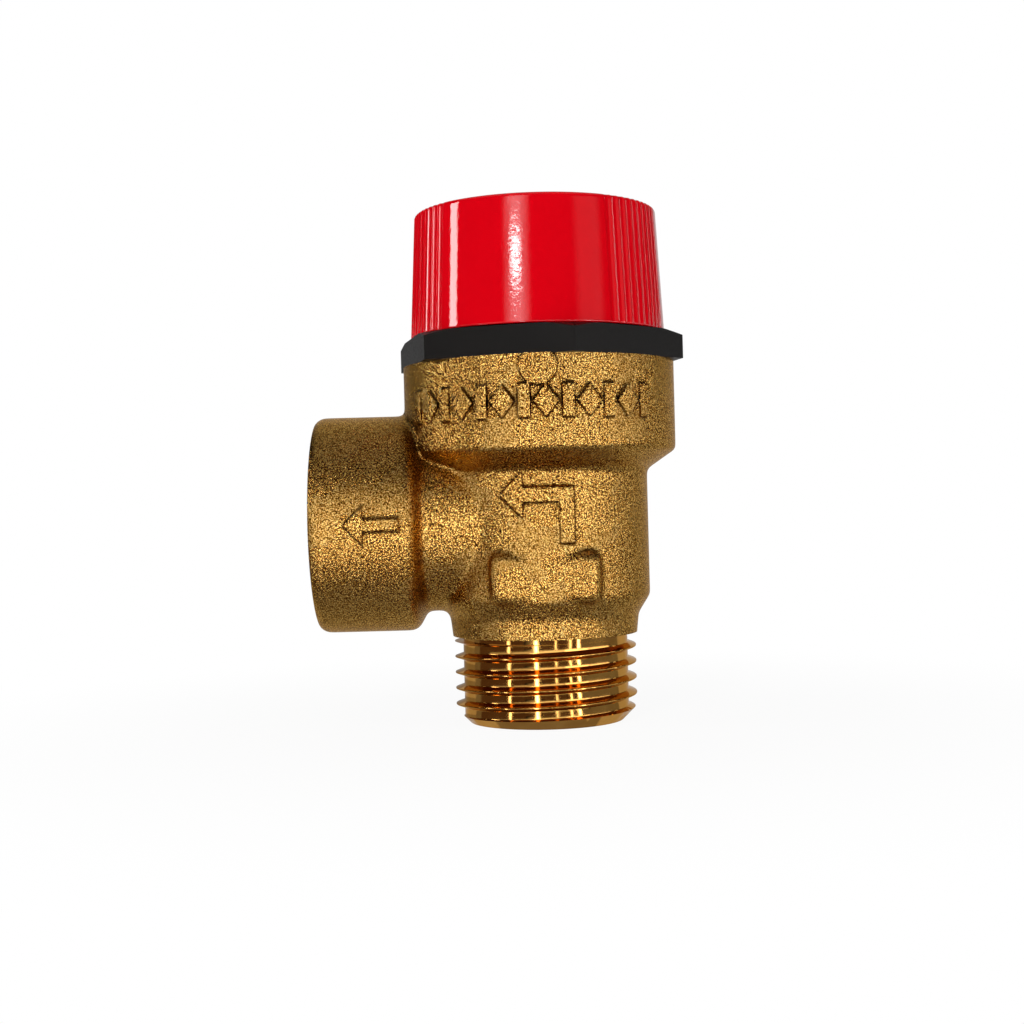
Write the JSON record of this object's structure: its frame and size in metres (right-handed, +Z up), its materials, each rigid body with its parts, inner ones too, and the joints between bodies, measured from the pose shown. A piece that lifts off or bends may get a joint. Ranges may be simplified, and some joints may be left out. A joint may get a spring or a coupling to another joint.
{
  "type": "pressure relief valve",
  "caption": "Angle-pattern diaphragm pressure relief valve with a male inlet below, a female outlet at the side and a knob that lifts the seal by hand.",
  "frame": {"origin": "centre of the inlet's end face", "axes": "+Z up along the valve's axis to the knob; the outlet leaves along -X"},
  "size_m": [0.0421, 0.0334, 0.0584],
  "materials": {
    "forged_brass": "blasted forging with turned threads",
    "turned_brass": "turned",
    "black_nylon": "moulded, fine grain",
    "red_plastic": "moulded, glossy",
    "spring_steel": "drawn wire",
    "zinc_steel": "zinc plated",
    "white_slip_plastic": "plain",
    "rubber": "moulded"
  },
  "bodies": {
    "root": {"body": "forged_brass", "bonnet": "black_nylon", "spring_adjuster": "turned_brass", "spring": "spring_steel", "diaphragm": "rubber", "slip_ring": "white_slip_plastic"},
    "lift_washer": {"lift_washer": "zinc_steel"},
    "knob": {"knob": "red_plastic", "knob_cap": "red_plastic"},
    "stem": {"stem": "turned_brass", "lift_nut": "zinc_steel", "plate_nut": "zinc_steel", "spring_plate": "zinc_steel", "seal_holder": "turned_brass", "seal_disc": "rubber", "seal_washer": "zinc_steel", "seal_screw": "zinc_steel"}
  },
  "joints": [
    {"name": "knob_raise", "type": "slide", "parent": "root", "child": "lift_washer", "axis": [0, 0, 1], "range_m": [0, 0.002]},
    {"name": "knob_turn", "type": "hinge", "parent": "lift_washer", "child": "knob", "pos_m": [0, 0, 0.045], "axis": [0, 0, 1], "range_deg": [0, 60]},
    {"name": "disc_lift", "type": "slide", "parent": "lift_washer", "child": "stem", "axis": [0, 0, 1], "range_m": [0, 0.0018], "stiffness_N_per_m": 6000, "springref_m": -0.006, "deforming": ["spring", "diaphragm"]}
  ],
  "couplings": [
    {"joint": "knob_turn", "follows": "knob_raise", "rad_per_m": 523.6}
  ]
}
